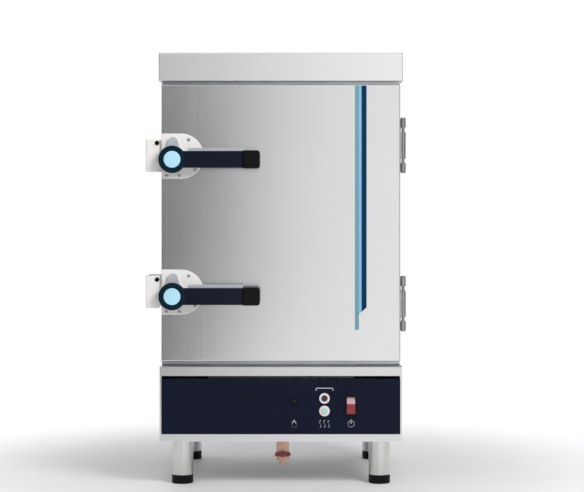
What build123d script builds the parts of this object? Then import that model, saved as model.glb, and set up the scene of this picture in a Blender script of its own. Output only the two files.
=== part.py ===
from build123d import *
import os

# Single-door food steaming cabinet. Water in a tank under the chamber is boiled by
# electric elements and the steam rises through the trays. Millimetres, +Z up, the
# front faces -Y. The origin is on the floor under the middle of the whole outline.

# Heights, stacked up from the floor
base_bottom = 127
lip_height = 20
panel_seam = 2
panel_height = 157
slot_zone = 9
sill_height = 26
door_sill_gap = 16
door_height = 792
cap_door_gap = 11
cap_height = 80

# Widths and depths
cap_side_step = 6
body_side_step = 2
panel_side_step = 3
door_thickness = 45
rear_insulation = 55
cap_overhang = 2
cap_corner = 4
cap_top_edge = 3
door_edge = 3
sill_edge = 1.5

# Sheet and wall thicknesses
sheet = 1.2
liner_wall = 1.0
frame_sheet = 3
tank_wall = 1.5
panel_flange = 1.5

# Chamber, trays and racks
mouth_overlap = 32
tray_side_room = 10
riser_depth = 65
flange_drop = 2
tray_count = 8
tray_width = 600
tray_length = 400
tray_depth = 48
tray_wall = 1
tray_rim = 10
tray_corner = 12
tray_seam = 0.1
tray_pitch = 86
first_rim_height = 62
tray_setback = 25
runner_thickness = 2
runner_height = 14
runner_side_gap = 2
post_thickness = 4
post_width = 22
post_inset = 40
rack_joint_gap = 0.1

# Door seal
seal_gap = 0.3
gasket_thickness = 8
gasket_width = 16
gasket_inset = 8
raised_field = 6
field_margin = 10

# Lever latches
latch_height = 188
latch_pitch = 389
latch_from_edge = 34
latch_plate_radius = 64.5
latch_plate_shift = 22.5
latch_plate_lift = 10
latch_plate_thickness = 6
plate_edge_inset = 1
plate_edge = 2
latch_pin_radius = 8
latch_clearance = 0.5
cam_thickness = 8
cam_root_radius = 26
cam_tip_radius = 14
cam_tip_distance = 50
hub_radius = 20
hub_length = 15
core_thickness = 6
core_band = 9
core_band_start = 44
cover_thickness = 20
cover_height = 48
core_inset = 6
cover_edge = 4
lever_length = 249
tip_length = 48
tip_height = 51
tip_proud = 2
tip_corner = 9
tip_edge = 3
head_radius = 39
button_radius = 24
button_pocket = 4
button_proud = 3
button_crown = 2.5

# Latch keepers on the side of the body
keeper_reach = 41
keeper_strip = 6
keeper_bend = 3.6
keeper_height = 92
keeper_lift = 12
keeper_foot = 56
keeper_setback = 10
keeper_edge_gap = 4
keeper_cam_gap = 1.5

# Hinges
hinge_height = 162
hinge_pitch = 457
hinge_length = 154
end_knuckle = 26
middle_knuckle = 75
knuckle_radius = 8
hinge_pin_radius = 4.5
hinge_pin_head = 6.5
hinge_head_height = 3
pin_stand_off = 9
pin_set_forward = 4
leaf_thickness = 3
door_leaf_thickness = 4.5
leaf_width = 34
leaf_knuckle_gap = 2.5
running_fit = 0.05

# Base, legs and feet
pan_flange = 20
lip_return = 20
leg_radius = 31
leg_wall = 2
leg_side_inset = 59
leg_front_inset = 12
leg_rear_inset = 52
leg_plate = 84
leg_plate_thickness = 4
leg_plate_corner = 8
leg_plug_height = 20
foot_height = 25
foot_gap = 0.3
foot_edge = 3
foot_stem_radius = 9
foot_stem_length = 66

# Water tank, elements, baffle
tank_width = 460
tank_length = 350
tank_front_inset = 32
tank_depth = 143
tank_flange = 18
baffle_width = 490
baffle_length = 380
baffle_thickness = 2
baffle_hole_radius = 8
baffle_pitch = 56
element_radius = 5.5
element_loop_width = 60
element_pitch = 120
element_count = 3
element_length = 250
element_height = 30
element_plate_height = 44
element_plate_thickness = 4
element_stud = 15
half_turn = 180
eighth_turn = 45

# Drain
drain_x = 5
drain_from_tank_front = 35
drain_radius = 13
drain_bore = 10
valve_top = 112
valve_length = 54
valve_grip = 14
valve_radius = 17
valve_sides = 8
valve_ball_radius = 19
valve_boss_radius = 8
valve_boss_reach = 26
outlet_radius = 10.5
outlet_bore = 8
outlet_length = 14
handle_gap = 0.3
handle_thickness = 7
handle_span = 46
handle_width = 13
handle_hub_radius = 9
handle_stem_radius = 4
handle_stem_length = 10
handle_edge = 1.5
hex_sides = 6

# Float box on the rear
box_width = 160
box_depth = 100
box_height = 140
box_left = -210
box_bottom = 250
box_lid_gap = 0.3
box_lid_skirt = 16
box_corner = 4
feed_radius = 11
feed_bore = 9
feed_x = -130
feed_height = 28
feed_end = 4
inlet_radius = 10.5
inlet_bore = 7
inlet_length = 18
inlet_drop = 30
valve_nut_radius = 15
valve_nut_thickness = 5
float_body_length = 26
float_body_size = 22
float_ear_length = 14
float_ear_thickness = 4
float_pivot_radius = 2
float_eye_radius = 6
float_eye_width = 6
float_eye_side_gap = 0.4
float_arm_radius = 2.5
float_ball_radius = 24
float_ball_forward = 76
float_ball_drop = 46

# Steam outlet on the rear
vent_x = 180
vent_drop = 60
vent_radius = 20
vent_wall = 1.5
vent_stub = 60
vent_collar_radius = 27
vent_collar_thickness = 6
vent_flange_radius = 32
pipe_hole_gap = 0.5

# Controls
lamp_places = [(38, 94, 9), (125, 102, 15), (125, 66, 15)]
lamp_rim = 4
lamp_lens_rim = 6
lamp_bezel_thickness = 4
lamp_pocket = 8
lamp_lens_proud = 2
lamp_lens_edge = 1.4
lamp_barrel_length = 30
switch_x = 201
switch_height = 80.5
switch_width = 36
switch_tall = 62
switch_rim = 4
switch_corner = 3
switch_bezel_thickness = 3
switch_barrel = 28
switch_wall = 1.5
switch_pocket = 15
rocker_gap = 0.6
rocker_pivot_depth = 6
rocker_tilt = 9
rocker_ridge = 8
rocker_shoulder = 4
rocker_back = 3
trunnion_radius = 1.5
trunnion_length = 1.6

# Electrical gear in the base
contactor_width = 45
contactor_length = 76
contactor_height = 59
contactor_head_width = 36
contactor_head_length = 46
contactor_head_height = 25
contactor_corner = 2
contactor_side_inset = 56
contactor_y_inset = 70
terminal_width = 24
terminal_length = 90
terminal_height = 36
terminal_slot_width = 17
terminal_slot_length = 12.5
terminal_side_inset = 56
terminal_count = 5
gland_x = 250
gland_height = 60
gland_radius = 14
gland_length = 28
gland_thread_radius = 10
gland_hex_radius = 16
gland_hex_thickness = 6
gland_inner = 16

# Levels that follow from the stack
lip_top = base_bottom + lip_height
panel_bottom = lip_top + panel_seam
panel_top = panel_bottom + panel_height
sill_bottom = panel_top + slot_zone
sill_top = sill_bottom + sill_height
door_bottom = sill_top + door_sill_gap
door_top = door_bottom + door_height
cap_bottom = door_top + cap_door_gap
pan_bottom = base_bottom + frame_sheet
chamber_floor = door_bottom + mouth_overlap
chamber_ceiling = door_top - mouth_overlap
tank_top = chamber_floor - liner_wall
tank_bottom = tank_top - tank_depth
rim_levels = [chamber_floor + first_rim_height + i * tray_pitch for i in range(tray_count)]
latch_levels = {"lower": door_bottom + latch_height, "upper": door_bottom + latch_height + latch_pitch}
hinge_levels = [door_bottom + hinge_height, door_bottom + hinge_height + hinge_pitch]

# Half widths and depths that follow
tray_half = tray_width / 2
chamber_half = tray_half + tray_side_room
door_half = chamber_half + mouth_overlap
body_half = door_half + body_side_step
inner_half = body_half - sheet
cap_half = body_half + cap_side_step
panel_half = body_half - panel_side_step
chamber_depth = tray_setback + tray_length + riser_depth
body_back = (chamber_depth + rear_insulation) / 2
body_front = -body_back
rear_inner = body_back - sheet
chamber_back = body_front + chamber_depth
door_back = body_front - seal_gap - gasket_thickness
door_front = door_back - door_thickness
panel_back = door_front + frame_sheet
tank_front = body_front + tank_front_inset
tank_back = tank_front + tank_length
tray_front = body_front + tray_setback
drain_y = tank_front + drain_from_tank_front

# Latch layers, from the door skin towards the front
latch_x = latch_from_edge - door_half
plate_front = door_front - latch_plate_thickness
cam_back = plate_front - latch_clearance
cam_front = cam_back - cam_thickness
core_back = cam_front - hub_length
core_front = core_back - core_thickness
cover_front = core_front - cover_thickness
button_front = cover_front - button_proud

# Hinge line
hinge_x = body_half + pin_stand_off
hinge_y = body_front - pin_set_forward

# The outline's middle is the origin, so the cabinet stands a little off it
left_reach = body_half + keeper_reach
right_reach = hinge_x + knuckle_radius
front_reach = -button_front
back_reach = body_back + box_depth + box_lid_gap + sheet
cabinet_x = (left_reach - right_reach) / 2
cabinet_y = (front_reach - back_reach) / 2


def level(z):
    """Horizontal plane at a height, over the cabinet's middle."""
    return Plane(origin=(cabinet_x, cabinet_y, z))


def facing(y):
    """Upright plane at a depth, facing the front: its x is +X and its y is +Z."""
    return Plane(origin=(cabinet_x, cabinet_y + y, 0), x_dir=(1, 0, 0), z_dir=(0, -1, 0))


def sideways(x):
    """Upright plane across the cabinet: its x is +Y, its y is +Z and it faces +X."""
    return Plane(origin=(cabinet_x + x, cabinet_y, 0), x_dir=(0, 1, 0), z_dir=(1, 0, 0))


def span(low_x, high_x, low_y, high_y, mode=Mode.ADD):
    """Rectangle between two corners of the sketch it is called in."""
    with Locations(((low_x + high_x) / 2, (low_y + high_y) / 2)):
        Rectangle(high_x - low_x, high_y - low_y, mode=mode)


def save(piece, label):
    """Name a finished piece and write its file."""
    piece.part.label = label
    export_step(piece.part, f"parts/{label}.step")


os.makedirs("parts", exist_ok=True)

# Cabinet shell

with BuildPart() as top_cover:
    with BuildSketch(level(cap_bottom)):
        span(-cap_half, cap_half, door_front - cap_overhang, body_back + cap_overhang)
    extrude(amount=cap_height)
    fillet(top_cover.edges().filter_by(Axis.Z), cap_corner)
    fillet(top_cover.edges().group_by(Axis.Z)[-1], cap_top_edge)
    with BuildSketch(level(cap_bottom + sheet)):
        span(
            sheet - cap_half,
            cap_half - sheet,
            door_front - cap_overhang + sheet,
            body_back + cap_overhang - sheet,
        )
    extrude(amount=cap_height - 2 * sheet, mode=Mode.SUBTRACT)
    with BuildSketch(level(cap_bottom)):
        span(-chamber_half, chamber_half, body_front + pan_flange, rear_inner - pan_flange)
    extrude(amount=sheet, mode=Mode.SUBTRACT)
save(top_cover, "top_cover")

for side, name in ((-1, "side_panel_left"), (1, "side_panel_right")):
    with BuildPart() as side_panel:
        with BuildSketch(sideways(min(side * body_half, side * inner_half))):
            span(body_front, body_back, base_bottom, cap_bottom)
            span(panel_back, body_front, base_bottom, sill_top - frame_sheet)
        extrude(amount=sheet)
    save(side_panel, name)

with BuildPart() as rear_panel:
    with BuildSketch(facing(body_back)):
        span(-inner_half, inner_half, pan_bottom, cap_bottom)
        with Locations((vent_x, chamber_ceiling - vent_drop)):
            Circle(vent_radius + pipe_hole_gap, mode=Mode.SUBTRACT)
        with Locations((feed_x, tank_bottom + feed_height)):
            Circle(feed_radius + pipe_hole_gap, mode=Mode.SUBTRACT)
        with Locations((gland_x, pan_bottom + gland_height)):
            Circle(gland_thread_radius + running_fit, mode=Mode.SUBTRACT)
    extrude(amount=sheet)
save(rear_panel, "rear_panel")

# The chamber's liner is one welding: the box, the face flange round its mouth and
# the floor with its opening over the tank
opening_half = tank_width / 2 - tank_flange
with BuildPart() as chamber_liner:
    with BuildSketch(facing(body_front + liner_wall)):
        span(-inner_half, inner_half, sill_top + flange_drop, cap_bottom)
    extrude(amount=liner_wall)
    with BuildSketch(facing(chamber_back + liner_wall)):
        span(
            -chamber_half - liner_wall,
            chamber_half + liner_wall,
            chamber_floor - liner_wall,
            chamber_ceiling + liner_wall,
        )
    extrude(amount=chamber_depth)
    with BuildSketch(facing(chamber_back)):
        span(-chamber_half, chamber_half, chamber_floor, chamber_ceiling)
    extrude(amount=chamber_depth, mode=Mode.SUBTRACT)
    with BuildSketch(level(chamber_floor - liner_wall)):
        span(-opening_half, opening_half, tank_front + tank_flange, tank_back - tank_flange)
    extrude(amount=liner_wall, mode=Mode.SUBTRACT)
    with BuildSketch(facing(chamber_back + liner_wall)):
        with Locations((vent_x, chamber_ceiling - vent_drop)):
            Circle(vent_radius + running_fit)
    extrude(amount=liner_wall, mode=Mode.SUBTRACT)
save(chamber_liner, "chamber_liner")

with BuildPart() as chamber_insulation:
    with BuildSketch(facing(rear_inner)):
        span(-inner_half, inner_half, sill_top + flange_drop, cap_bottom)
    extrude(amount=rear_inner - body_front - liner_wall)
    with BuildSketch(facing(chamber_back + liner_wall)):
        span(
            -chamber_half - liner_wall,
            chamber_half + liner_wall,
            chamber_floor - liner_wall,
            chamber_ceiling + liner_wall,
        )
    extrude(amount=chamber_depth, mode=Mode.SUBTRACT)
    with BuildSketch(level(sill_top)):
        span(-tank_width / 2, tank_width / 2, tank_front, tank_back)
    extrude(amount=tank_top - sill_top, mode=Mode.SUBTRACT)
    with BuildSketch(facing(rear_inner)):
        with Locations((vent_x, chamber_ceiling - vent_drop)):
            Circle(vent_flange_radius)
    extrude(amount=rear_inner - chamber_back - liner_wall, mode=Mode.SUBTRACT)
save(chamber_insulation, "chamber_insulation")

# Base: floor pan, folded front frame with the vent slot over the control panel

foot_places = [
    (side * (body_half - leg_side_inset), depth)
    for side in (-1, 1)
    for depth in (body_front + leg_front_inset, body_back - leg_rear_inset)
]

with BuildPart() as base_pan:
    with BuildSketch(level(pan_bottom)):
        span(-inner_half, inner_half, panel_back + panel_flange, rear_inner)
    extrude(amount=pan_flange)
    with BuildSketch(level(pan_bottom + sheet)):
        span(
            sheet - inner_half,
            inner_half - sheet,
            panel_back + panel_flange + sheet,
            rear_inner - sheet,
        )
    extrude(amount=pan_flange, mode=Mode.SUBTRACT)
    with BuildSketch(level(pan_bottom)):
        with Locations((drain_x, drain_y)):
            Circle(drain_radius + pipe_hole_gap)
    extrude(amount=sheet, mode=Mode.SUBTRACT)
save(base_pan, "base_pan")

frame_half = body_half + frame_sheet
with BuildPart() as base_front_frame:
    with BuildSketch(level(base_bottom)):
        span(-frame_half, frame_half, door_front, panel_back)
        span(-frame_half, -body_half, panel_back, panel_back + lip_return)
        span(body_half, frame_half, panel_back, panel_back + lip_return)
    extrude(amount=sill_top - base_bottom)
    with BuildSketch(level(base_bottom)):
        span(-body_half + sheet, body_half - sheet, panel_back, panel_back + lip_return)
    extrude(amount=frame_sheet)
    with BuildSketch(level(sill_top - frame_sheet)):
        span(-frame_half, frame_half, door_front, body_front)
    extrude(amount=frame_sheet)
    with BuildSketch(facing(panel_back)):
        span(
            -panel_half - panel_seam / 2,
            panel_half + panel_seam / 2,
            panel_bottom - panel_seam / 2,
            panel_top + panel_seam / 2,
        )
        span(
            -panel_half,
            panel_half,
            panel_top + panel_seam / 2,
            sill_bottom,
        )
    extrude(amount=frame_sheet, mode=Mode.SUBTRACT)
    fillet(
        base_front_frame.edges().filter_by(Axis.X).group_by(Axis.Y)[0].group_by(Axis.Z)[-1],
        sill_edge,
    )
save(base_front_frame, "base_front_frame")

with BuildPart() as control_panel:
    with BuildSketch(facing(panel_back + panel_flange)):
        span(
            -inner_half,
            inner_half,
            panel_bottom - panel_seam - panel_flange,
            panel_top + panel_seam / 2,
        )
    extrude(amount=panel_flange)
    with BuildSketch(facing(panel_back)):
        span(-panel_half, panel_half, panel_bottom, panel_top)
    extrude(amount=frame_sheet)
    with BuildSketch(facing(panel_back + panel_flange)):
        for x, z, bezel_radius in lamp_places:
            with Locations((x, panel_bottom + z)):
                Circle(bezel_radius - lamp_rim)
        with Locations((switch_x, panel_bottom + switch_height)):
            Rectangle(switch_width - 2 * switch_rim, switch_tall - 2 * switch_rim)
    extrude(amount=frame_sheet + panel_flange, mode=Mode.SUBTRACT)
save(control_panel, "control_panel")

# Racks and trays

tray_back = tray_front + tray_length
tray_middle = (tray_front + tray_back) / 2

for side, name in ((-1, "rack_left"), (1, "rack_right")):
    with BuildPart() as rack:
        with BuildSketch(level(chamber_floor)):
            for post_y in (tray_front + post_inset, tray_back - post_inset):
                with Locations((side * (chamber_half - post_thickness / 2), post_y)):
                    Rectangle(post_thickness, post_width)
        extrude(amount=rim_levels[-1] + runner_height - chamber_floor)
        for rim in rim_levels:
            seat = rim - tray_wall
            inner = side * (tray_half - tray_rim + runner_side_gap)
            outer = side * (chamber_half - post_thickness - rack_joint_gap)
            with BuildSketch(level(seat - runner_thickness)):
                span(min(inner, outer), max(inner, outer), tray_front, tray_back)
            extrude(amount=runner_thickness)
            with BuildSketch(level(seat - runner_thickness)):
                web = outer - side * runner_thickness
                span(min(web, outer), max(web, outer), tray_front, tray_back)
            extrude(amount=runner_height)
    save(rack, name)

# Each tray has seams round its floor and across its corners, so that collision can
# follow its inside.
pan_width = tray_width - 2 * tray_rim
pan_length = tray_length - 2 * tray_rim
inside_width = pan_width - 2 * tray_wall
inside_length = pan_length - 2 * tray_wall
seam_reach = tray_corner + 2 * tray_rim
corner_sides = ((1, 1), (-1, 1), (-1, -1), (1, -1))

for number, rim in enumerate(rim_levels, start=1):
    with BuildPart() as tray:
        with BuildSketch(level(rim - tray_depth)):
            with Locations((0, tray_middle)):
                RectangleRounded(pan_width, pan_length, tray_corner)
        extrude(amount=tray_depth)
        with BuildSketch(level(rim - tray_wall)):
            with Locations((0, tray_middle)):
                RectangleRounded(tray_width, tray_length, tray_corner + tray_rim)
        extrude(amount=tray_wall)
        with BuildSketch(level(rim - tray_depth)):
            with Locations((0, tray_middle)):
                RectangleRounded(inside_width, inside_length, tray_corner - tray_wall)
        extrude(amount=tray_depth, mode=Mode.SUBTRACT)
        with BuildSketch(level(rim - tray_depth)):
            for quarter, (side_x, side_y) in enumerate(corner_sides):
                seam_x = side_x * (pan_width / 2 - tray_corner)
                seam_y = tray_middle + side_y * (pan_length / 2 - tray_corner)
                for eighth in range(2 * quarter, 2 * quarter + 3):
                    with Locations(Location((seam_x, seam_y, 0), (0, 0, eighth_turn * eighth))):
                        Rectangle(seam_reach, tray_seam, align=(Align.MIN, Align.CENTER))
        extrude(amount=tray_depth, mode=Mode.SUBTRACT)
        with BuildSketch(level(rim - tray_depth)):
            with Locations((0, tray_middle)):
                RectangleRounded(
                    inside_width - 2 * tray_seam,
                    inside_length - 2 * tray_seam,
                    tray_corner - tray_wall - tray_seam,
                )
        extrude(amount=tray_wall)
    save(tray, f"tray_{number}")

# Water tank with its welded drain socket and feed pipe, and what stands over and in it

tank_half = opening_half + tank_wall
wall_front = tank_front + tank_flange - tank_wall
wall_back = tank_back - tank_flange + tank_wall
element_level = tank_bottom + element_height
element_plate_half = element_pitch + element_loop_width / 2 + element_plate_height / 2
socket_bottom = valve_top - valve_grip
feed_level = tank_bottom + feed_height

with BuildPart() as water_tank:
    with BuildSketch(level(tank_bottom)):
        span(-tank_half, tank_half, wall_front, wall_back)
    extrude(amount=tank_depth)
    with BuildSketch(level(tank_top - tank_wall)):
        span(-tank_width / 2, tank_width / 2, tank_front, tank_back)
    extrude(amount=tank_wall)
    with BuildSketch(level(socket_bottom)):
        with Locations((drain_x, drain_y)):
            Circle(drain_radius)
    extrude(amount=tank_bottom - socket_bottom)
    with BuildSketch(facing(body_back + sheet + feed_end)):
        with Locations((feed_x, feed_level)):
            Circle(feed_radius)
    extrude(amount=body_back + sheet + feed_end - wall_back)
    with BuildSketch(level(tank_bottom + tank_wall)):
        span(-opening_half, opening_half, wall_front + tank_wall, wall_back - tank_wall)
    extrude(amount=tank_depth, mode=Mode.SUBTRACT)
    with BuildSketch(level(socket_bottom)):
        with Locations((drain_x, drain_y)):
            Circle(drain_bore)
    extrude(amount=tank_bottom + tank_wall - socket_bottom, mode=Mode.SUBTRACT)
    with BuildSketch(facing(body_back + sheet + feed_end)):
        with Locations((feed_x, feed_level)):
            Circle(feed_bore)
    extrude(amount=body_back + sheet + feed_end - wall_back + tank_wall, mode=Mode.SUBTRACT)
    with BuildSketch(facing(wall_front + tank_wall)):
        with Locations((0, element_level)):
            Rectangle(
                2 * element_plate_half - element_plate_height / 2,
                element_plate_height / 2,
            )
    extrude(amount=tank_wall, mode=Mode.SUBTRACT)
save(water_tank, "water_tank")

with BuildPart() as heating_elements:
    with BuildSketch(facing(wall_front)):
        with Locations((0, element_level)):
            Rectangle(2 * element_plate_half, element_plate_height)
    extrude(amount=element_plate_thickness)
    stud_front = wall_front - element_plate_thickness - element_stud
    for turn in range(element_count):
        middle = (turn - (element_count - 1) / 2) * element_pitch
        low = middle - element_loop_width / 2
        high = middle + element_loop_width / 2
        far = wall_front + element_length
        with BuildSketch(facing(far)):
            with Locations((low, element_level), (high, element_level)):
                Circle(element_radius)
        extrude(amount=far - stud_front)
        with BuildSketch(facing(far)):
            with Locations((low, element_level)):
                Circle(element_radius)
        bend_centre = (cabinet_x + middle, cabinet_y + far, element_level)
        revolve(axis=Axis(bend_centre, (0, 0, -1)), revolution_arc=half_turn)
save(heating_elements, "heating_elements")

with BuildPart() as baffle_plate:
    baffle_middle = (tank_front + tank_back) / 2
    with BuildSketch(level(chamber_floor)):
        with Locations((0, baffle_middle)):
            RectangleRounded(baffle_width, baffle_length, tray_corner)
            across = int((baffle_width - baffle_pitch / 2) // baffle_pitch)
            along = int((baffle_length - baffle_pitch / 2) // baffle_pitch)
            with GridLocations(baffle_pitch, baffle_pitch, across, along):
                Circle(baffle_hole_radius, mode=Mode.SUBTRACT)
    extrude(amount=baffle_thickness)
save(baffle_plate, "baffle_plate")

# Drain valve under the tank, closed while its handle lies level

valve_bottom = valve_top - valve_length
ball_level = (valve_bottom + socket_bottom) / 2
boss_front = drain_y - valve_boss_reach

with BuildPart() as drain_valve:
    with BuildSketch(level(valve_bottom)):
        with Locations((drain_x, drain_y)):
            RegularPolygon(valve_radius, valve_sides, major_radius=False)
    extrude(amount=valve_length)
    with BuildSketch(level(valve_bottom - outlet_length)):
        with Locations((drain_x, drain_y)):
            Circle(outlet_radius)
    extrude(amount=outlet_length)
    with Locations((cabinet_x + drain_x, cabinet_y + drain_y, ball_level)):
        Sphere(valve_ball_radius)
    with BuildSketch(facing(drain_y)):
        with Locations((drain_x, ball_level)):
            Circle(valve_boss_radius)
    extrude(amount=valve_boss_reach)
    with BuildSketch(level(socket_bottom)):
        with Locations((drain_x, drain_y)):
            Circle(drain_radius + running_fit)
    extrude(amount=valve_grip, mode=Mode.SUBTRACT)
    with BuildSketch(level(valve_bottom - outlet_length)):
        with Locations((drain_x, drain_y)):
            Circle(outlet_bore)
    extrude(amount=outlet_length + valve_radius / 2, mode=Mode.SUBTRACT)
    with BuildSketch(facing(boss_front + handle_stem_length)):
        with Locations((drain_x, ball_level)):
            Circle(handle_stem_radius + running_fit)
    extrude(amount=handle_stem_length, mode=Mode.SUBTRACT)
save(drain_valve, "drain_valve")

with BuildPart() as drain_handle:
    with BuildSketch(facing(boss_front - handle_gap)):
        with Locations((drain_x, ball_level)):
            Circle(handle_hub_radius)
            SlotOverall(handle_span, handle_width)
    extrude(amount=handle_thickness)
    fillet(drain_handle.edges().group_by(Axis.Y)[0], handle_edge)
    with BuildSketch(facing(boss_front + handle_stem_length - handle_gap)):
        with Locations((drain_x, ball_level)):
            Circle(handle_stem_radius)
    extrude(amount=handle_stem_length)
save(drain_handle, "drain_handle")

# Float box on the rear, with its lid, filling valve and float

box_right = box_left + box_width
box_top = box_bottom + box_height
box_rear = body_back + box_depth
box_middle = body_back + box_depth / 2
inlet_level = box_top - inlet_drop

with BuildPart() as float_box:
    with BuildSketch(level(box_bottom)):
        span(box_left, box_right, body_back, box_rear)
    extrude(amount=box_height)
    fillet(float_box.edges().filter_by(Axis.Z).group_by(Axis.Y)[-1], box_corner)
    with BuildSketch(level(box_bottom + sheet)):
        span(box_left + sheet, box_right - sheet, body_back + sheet, box_rear - sheet)
    extrude(amount=box_height, mode=Mode.SUBTRACT)
    with BuildSketch(facing(body_back + sheet)):
        with Locations((feed_x, feed_level)):
            Circle(feed_radius + running_fit)
    extrude(amount=sheet, mode=Mode.SUBTRACT)
    with BuildSketch(sideways(box_left)):
        with Locations((box_middle, inlet_level)):
            Circle(inlet_radius + running_fit)
    extrude(amount=sheet, mode=Mode.SUBTRACT)
save(float_box, "float_box")

lid_out = box_lid_gap + sheet
with BuildPart() as float_box_lid:
    with BuildSketch(level(box_top - box_lid_skirt)):
        span(box_left - lid_out, box_right + lid_out, body_back, box_rear + lid_out)
    extrude(amount=box_lid_skirt + sheet)
    with BuildSketch(level(box_top - box_lid_skirt)):
        span(
            box_left - box_lid_gap,
            box_right + box_lid_gap,
            body_back,
            box_rear + box_lid_gap,
        )
    extrude(amount=box_lid_skirt, mode=Mode.SUBTRACT)
save(float_box_lid, "float_box_lid")

float_body_end = box_left + sheet + valve_nut_thickness + float_body_length
float_pivot_x = float_body_end + float_ear_length - float_eye_radius
ear_inner = float_eye_width / 2 + float_eye_side_gap
ear_outer = ear_inner + float_ear_thickness

with BuildPart() as float_valve:
    with BuildSketch(sideways(box_left - inlet_length)):
        with Locations((box_middle, inlet_level)):
            Circle(inlet_radius)
    extrude(amount=inlet_length + sheet)
    with BuildSketch(sideways(box_left - valve_nut_thickness)):
        with Locations((box_middle, inlet_level)):
            RegularPolygon(valve_nut_radius, hex_sides)
    extrude(amount=valve_nut_thickness)
    with BuildSketch(sideways(box_left + sheet)):
        with Locations((box_middle, inlet_level)):
            RegularPolygon(valve_nut_radius, hex_sides)
    extrude(amount=valve_nut_thickness)
    with BuildSketch(sideways(box_left + sheet + valve_nut_thickness)):
        with Locations((box_middle, inlet_level)):
            Rectangle(float_body_size, float_body_size)
    extrude(amount=float_body_length)
    for side in (-1, 1):
        with BuildSketch(sideways(float_body_end)):
            with Locations((box_middle + side * (ear_inner + ear_outer) / 2, inlet_level)):
                Rectangle(float_ear_thickness, 2 * float_eye_radius)
        extrude(amount=float_ear_length)
    with BuildSketch(facing(box_middle + ear_outer)):
        with Locations((float_pivot_x, inlet_level)):
            Circle(float_pivot_radius)
    extrude(amount=2 * ear_outer)
    with BuildSketch(sideways(box_left - inlet_length)):
        with Locations((box_middle, inlet_level)):
            Circle(inlet_bore)
    extrude(amount=inlet_length, mode=Mode.SUBTRACT)
save(float_valve, "float_valve")

pivot_point = (cabinet_x + float_pivot_x, cabinet_y + box_middle, inlet_level)
arm_direction = Vector(float_ball_forward, 0, -float_ball_drop)
arm_start = Vector(pivot_point) + arm_direction.normalized() * (float_eye_radius - 1)
with BuildPart() as float_arm:
    with BuildSketch(facing(box_middle + float_eye_width / 2)):
        with Locations((float_pivot_x, inlet_level)):
            Circle(float_eye_radius)
    extrude(amount=float_eye_width)
    with BuildSketch(Plane(origin=arm_start, z_dir=arm_direction)):
        Circle(float_arm_radius)
    extrude(amount=arm_direction.length - float_eye_radius)
    with Locations(Vector(pivot_point) + arm_direction):
        Sphere(float_ball_radius)
    with BuildSketch(facing(box_middle + float_eye_width / 2)):
        with Locations((float_pivot_x, inlet_level)):
            Circle(float_pivot_radius + running_fit)
    extrude(amount=float_eye_width, mode=Mode.SUBTRACT)
save(float_arm, "float_arm")

# Steam outlet and cable gland on the rear

with BuildPart() as steam_outlet:
    with BuildSketch(facing(body_back + vent_stub)):
        with Locations((vent_x, chamber_ceiling - vent_drop)):
            Circle(vent_radius)
    extrude(amount=body_back + vent_stub - chamber_back)
    with BuildSketch(facing(body_back + vent_collar_thickness)):
        with Locations((vent_x, chamber_ceiling - vent_drop)):
            Circle(vent_collar_radius)
    extrude(amount=vent_collar_thickness)
    with BuildSketch(facing(chamber_back + liner_wall + sheet)):
        with Locations((vent_x, chamber_ceiling - vent_drop)):
            Circle(vent_flange_radius - pipe_hole_gap)
    extrude(amount=sheet)
    with BuildSketch(facing(body_back + vent_stub)):
        with Locations((vent_x, chamber_ceiling - vent_drop)):
            Circle(vent_radius - vent_wall)
    extrude(amount=body_back + vent_stub - chamber_back, mode=Mode.SUBTRACT)
save(steam_outlet, "steam_outlet")

gland_level = pan_bottom + gland_height
with BuildPart() as cable_gland:
    with BuildSketch(facing(body_back + gland_hex_thickness)):
        with Locations((gland_x, gland_level)):
            RegularPolygon(gland_hex_radius, hex_sides)
    extrude(amount=gland_hex_thickness)
    with BuildSketch(facing(body_back + gland_length)):
        with Locations((gland_x, gland_level)):
            Circle(gland_radius)
    extrude(amount=gland_length - gland_hex_thickness)
    fillet(cable_gland.edges().group_by(Axis.Y)[-1], gland_radius / 2)
    with BuildSketch(facing(body_back)):
        with Locations((gland_x, gland_level)):
            Circle(gland_thread_radius)
    extrude(amount=gland_inner)
    with BuildSketch(facing(rear_inner)):
        with Locations((gland_x, gland_level)):
            RegularPolygon(gland_hex_radius, hex_sides)
    extrude(amount=gland_hex_thickness)
save(cable_gland, "cable_gland")

# Electrical gear on the base pan

pan_floor = pan_bottom + sheet
contactor_x = contactor_side_inset - body_half
terminal_x = body_half - terminal_side_inset
gear_front = panel_back + contactor_y_inset
with BuildPart() as contactor:
    with BuildSketch(level(pan_floor)):
        with Locations((contactor_x, gear_front + contactor_length / 2)):
            Rectangle(contactor_width, contactor_length)
    extrude(amount=contactor_height)
    with BuildSketch(level(pan_floor + contactor_height)):
        with Locations((contactor_x, gear_front + contactor_length / 2)):
            Rectangle(contactor_head_width, contactor_head_length)
    extrude(amount=contactor_head_height)
    fillet(contactor.edges().filter_by(Axis.Z), contactor_corner)
save(contactor, "contactor")

with BuildPart() as terminal_block:
    with BuildSketch(level(pan_floor)):
        with Locations((terminal_x, gear_front + terminal_length / 2)):
            Rectangle(terminal_width, terminal_length)
    extrude(amount=terminal_height)
    with BuildSketch(level(pan_floor + terminal_height / 2)):
        with Locations((terminal_x, gear_front + terminal_length / 2)):
            terminal_step = terminal_length / terminal_count
            with GridLocations(0, terminal_step, 1, terminal_count):
                Rectangle(terminal_slot_width, terminal_slot_length)
    extrude(amount=terminal_height / 2, mode=Mode.SUBTRACT)
save(terminal_block, "terminal_block")

# Lamps and rocker switch on the control panel

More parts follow.
